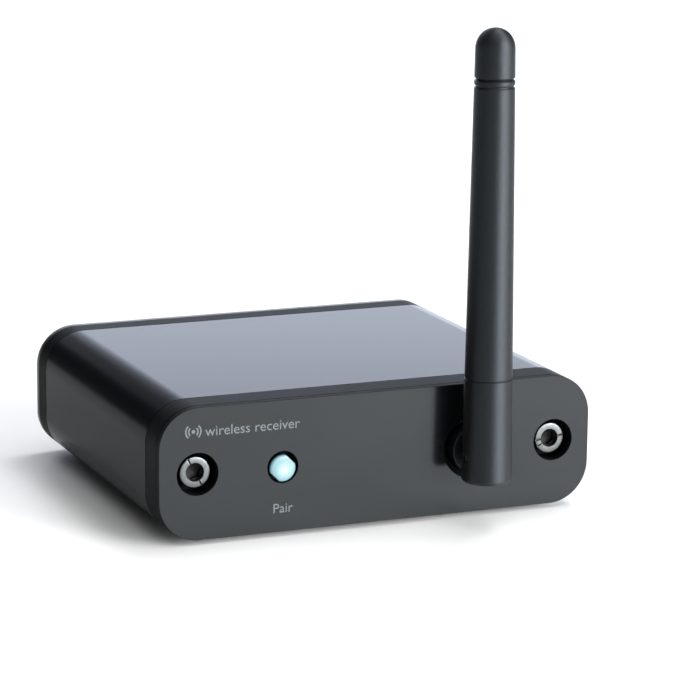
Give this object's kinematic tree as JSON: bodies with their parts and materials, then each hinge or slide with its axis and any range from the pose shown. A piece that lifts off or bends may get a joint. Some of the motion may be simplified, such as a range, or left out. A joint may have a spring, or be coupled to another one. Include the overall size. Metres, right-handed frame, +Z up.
{
  "type": "wireless audio receiver",
  "caption": "Flat rounded black metal box with a folding rod antenna and a lit push button on its front, and audio, optical and power sockets on its back.",
  "frame": {"origin": "centre of the whole object's footprint box, on the plane its feet stand on", "axes": "+Z up, -Y out of the front with the antenna and the button, +X to the right seen from the front"},
  "size_m": [0.0888, 0.0968, 0.0958],
  "materials": {
    "case_black": "fine matte black anodised",
    "bezel_black": "fine satin black moulding",
    "fascia_black": "dark semi-gloss, slightly blurred reflection",
    "rear_plate_black": "fine satin black",
    "foil": "black adhesive foil",
    "screw_steel": "bright zinc plated",
    "foot_rubber": "matte black rubber",
    "board": "green lacquered board",
    "can": "tinned sheet",
    "chip": "matte moulded epoxy",
    "capacitor": "aluminium can",
    "switch": "matte black",
    "led": "clear lens over a lit chip",
    "button": "milky translucent, lit pale cyan from behind",
    "gold": "gold plated",
    "jack_white": "white moulding",
    "jack_red": "red moulding",
    "black_moulding": "matte black moulding",
    "emitter": "clear red lens",
    "socket_shell": "bright plated shell",
    "ptfe": "white insulator",
    "antenna_black": "satin black moulding with fine grain",
    "pin_steel": "plain steel pin",
    "copper": "bare radiator metal",
    "coax": "coax jacket"
  },
  "bodies": {
    "case": {"sleeve": "case_black", "front_bezel": "bezel_black", "rear_bezel": "bezel_black", "front_fascia": "fascia_black", "rear_plate": "rear_plate_black", "fascia_foil": "foil", "rear_foil": "foil", "front_screws": "screw_steel", "rear_screws": "screw_steel", "rubber_feet": "foot_rubber", "main_board": "board", "switch_board": "board", "radio_module": "board", "module_shield": "can", "crystal_oscillator": "can", "board_chips": "chip", "power_inductors": "chip", "ferrite_beads": "chip", "board_link_header": "chip", "capacitors": "capacitor", "tact_switch": "switch", "status_leds": "led", "jack_shell_left": "gold", "jack_shell_right": "gold", "jack_contacts": "gold", "antenna_connector": "gold", "connector_pin": "gold", "antenna_nut": "gold", "jack_insulator_left": "jack_white", "jack_collar_left": "jack_white", "jack_insulator_right": "jack_red", "jack_collar_right": "jack_red", "jack_housing": "black_moulding", "optical_housing": "black_moulding", "power_socket_tongue": "black_moulding", "optical_emitter": "emitter", "power_socket_shell": "socket_shell", "connector_dielectric": "ptfe", "antenna_grip": "antenna_black"},
    "pairing_button": {"pair_button": "button", "switch_plunger": "switch"},
    "antenna_swivel": {"antenna_elbow": "antenna_black", "hinge_pin": "pin_steel"},
    "antenna_mast": {"antenna_knuckle": "antenna_black", "antenna_sheath": "antenna_black", "antenna_tip": "antenna_black", "antenna_coax": "coax", "radiator_sleeve": "copper", "radiator_whip": "copper"},
    "optical_door": {"optical_shutter": "black_moulding"}
  },
  "joints": [
    {"name": "button_press", "type": "slide", "parent": "case", "child": "pairing_button", "axis": [0, 1, 0], "range_m": [0, 0.00035], "stiffness_N_per_m": 400},
    {"name": "antenna_turn", "type": "hinge", "parent": "case", "child": "antenna_swivel", "pos_m": [0.01953, -0.0386, 0.0138], "axis": [0, 1, 0], "range_deg": [-90, 90]},
    {"name": "antenna_fold", "type": "hinge", "parent": "antenna_swivel", "child": "antenna_mast", "pos_m": [0.01953, -0.0436, 0.0138], "axis": [1, 0, 0], "range_deg": [0, 90]},
    {"name": "shutter_swing", "type": "hinge", "parent": "case", "child": "optical_door", "pos_m": [-0.0065, 0.03615, 0.01677], "axis": [-1, 0, 0], "range_deg": [0, 80], "stiffness_Nm_per_rad": 0.00004}
  ]
}
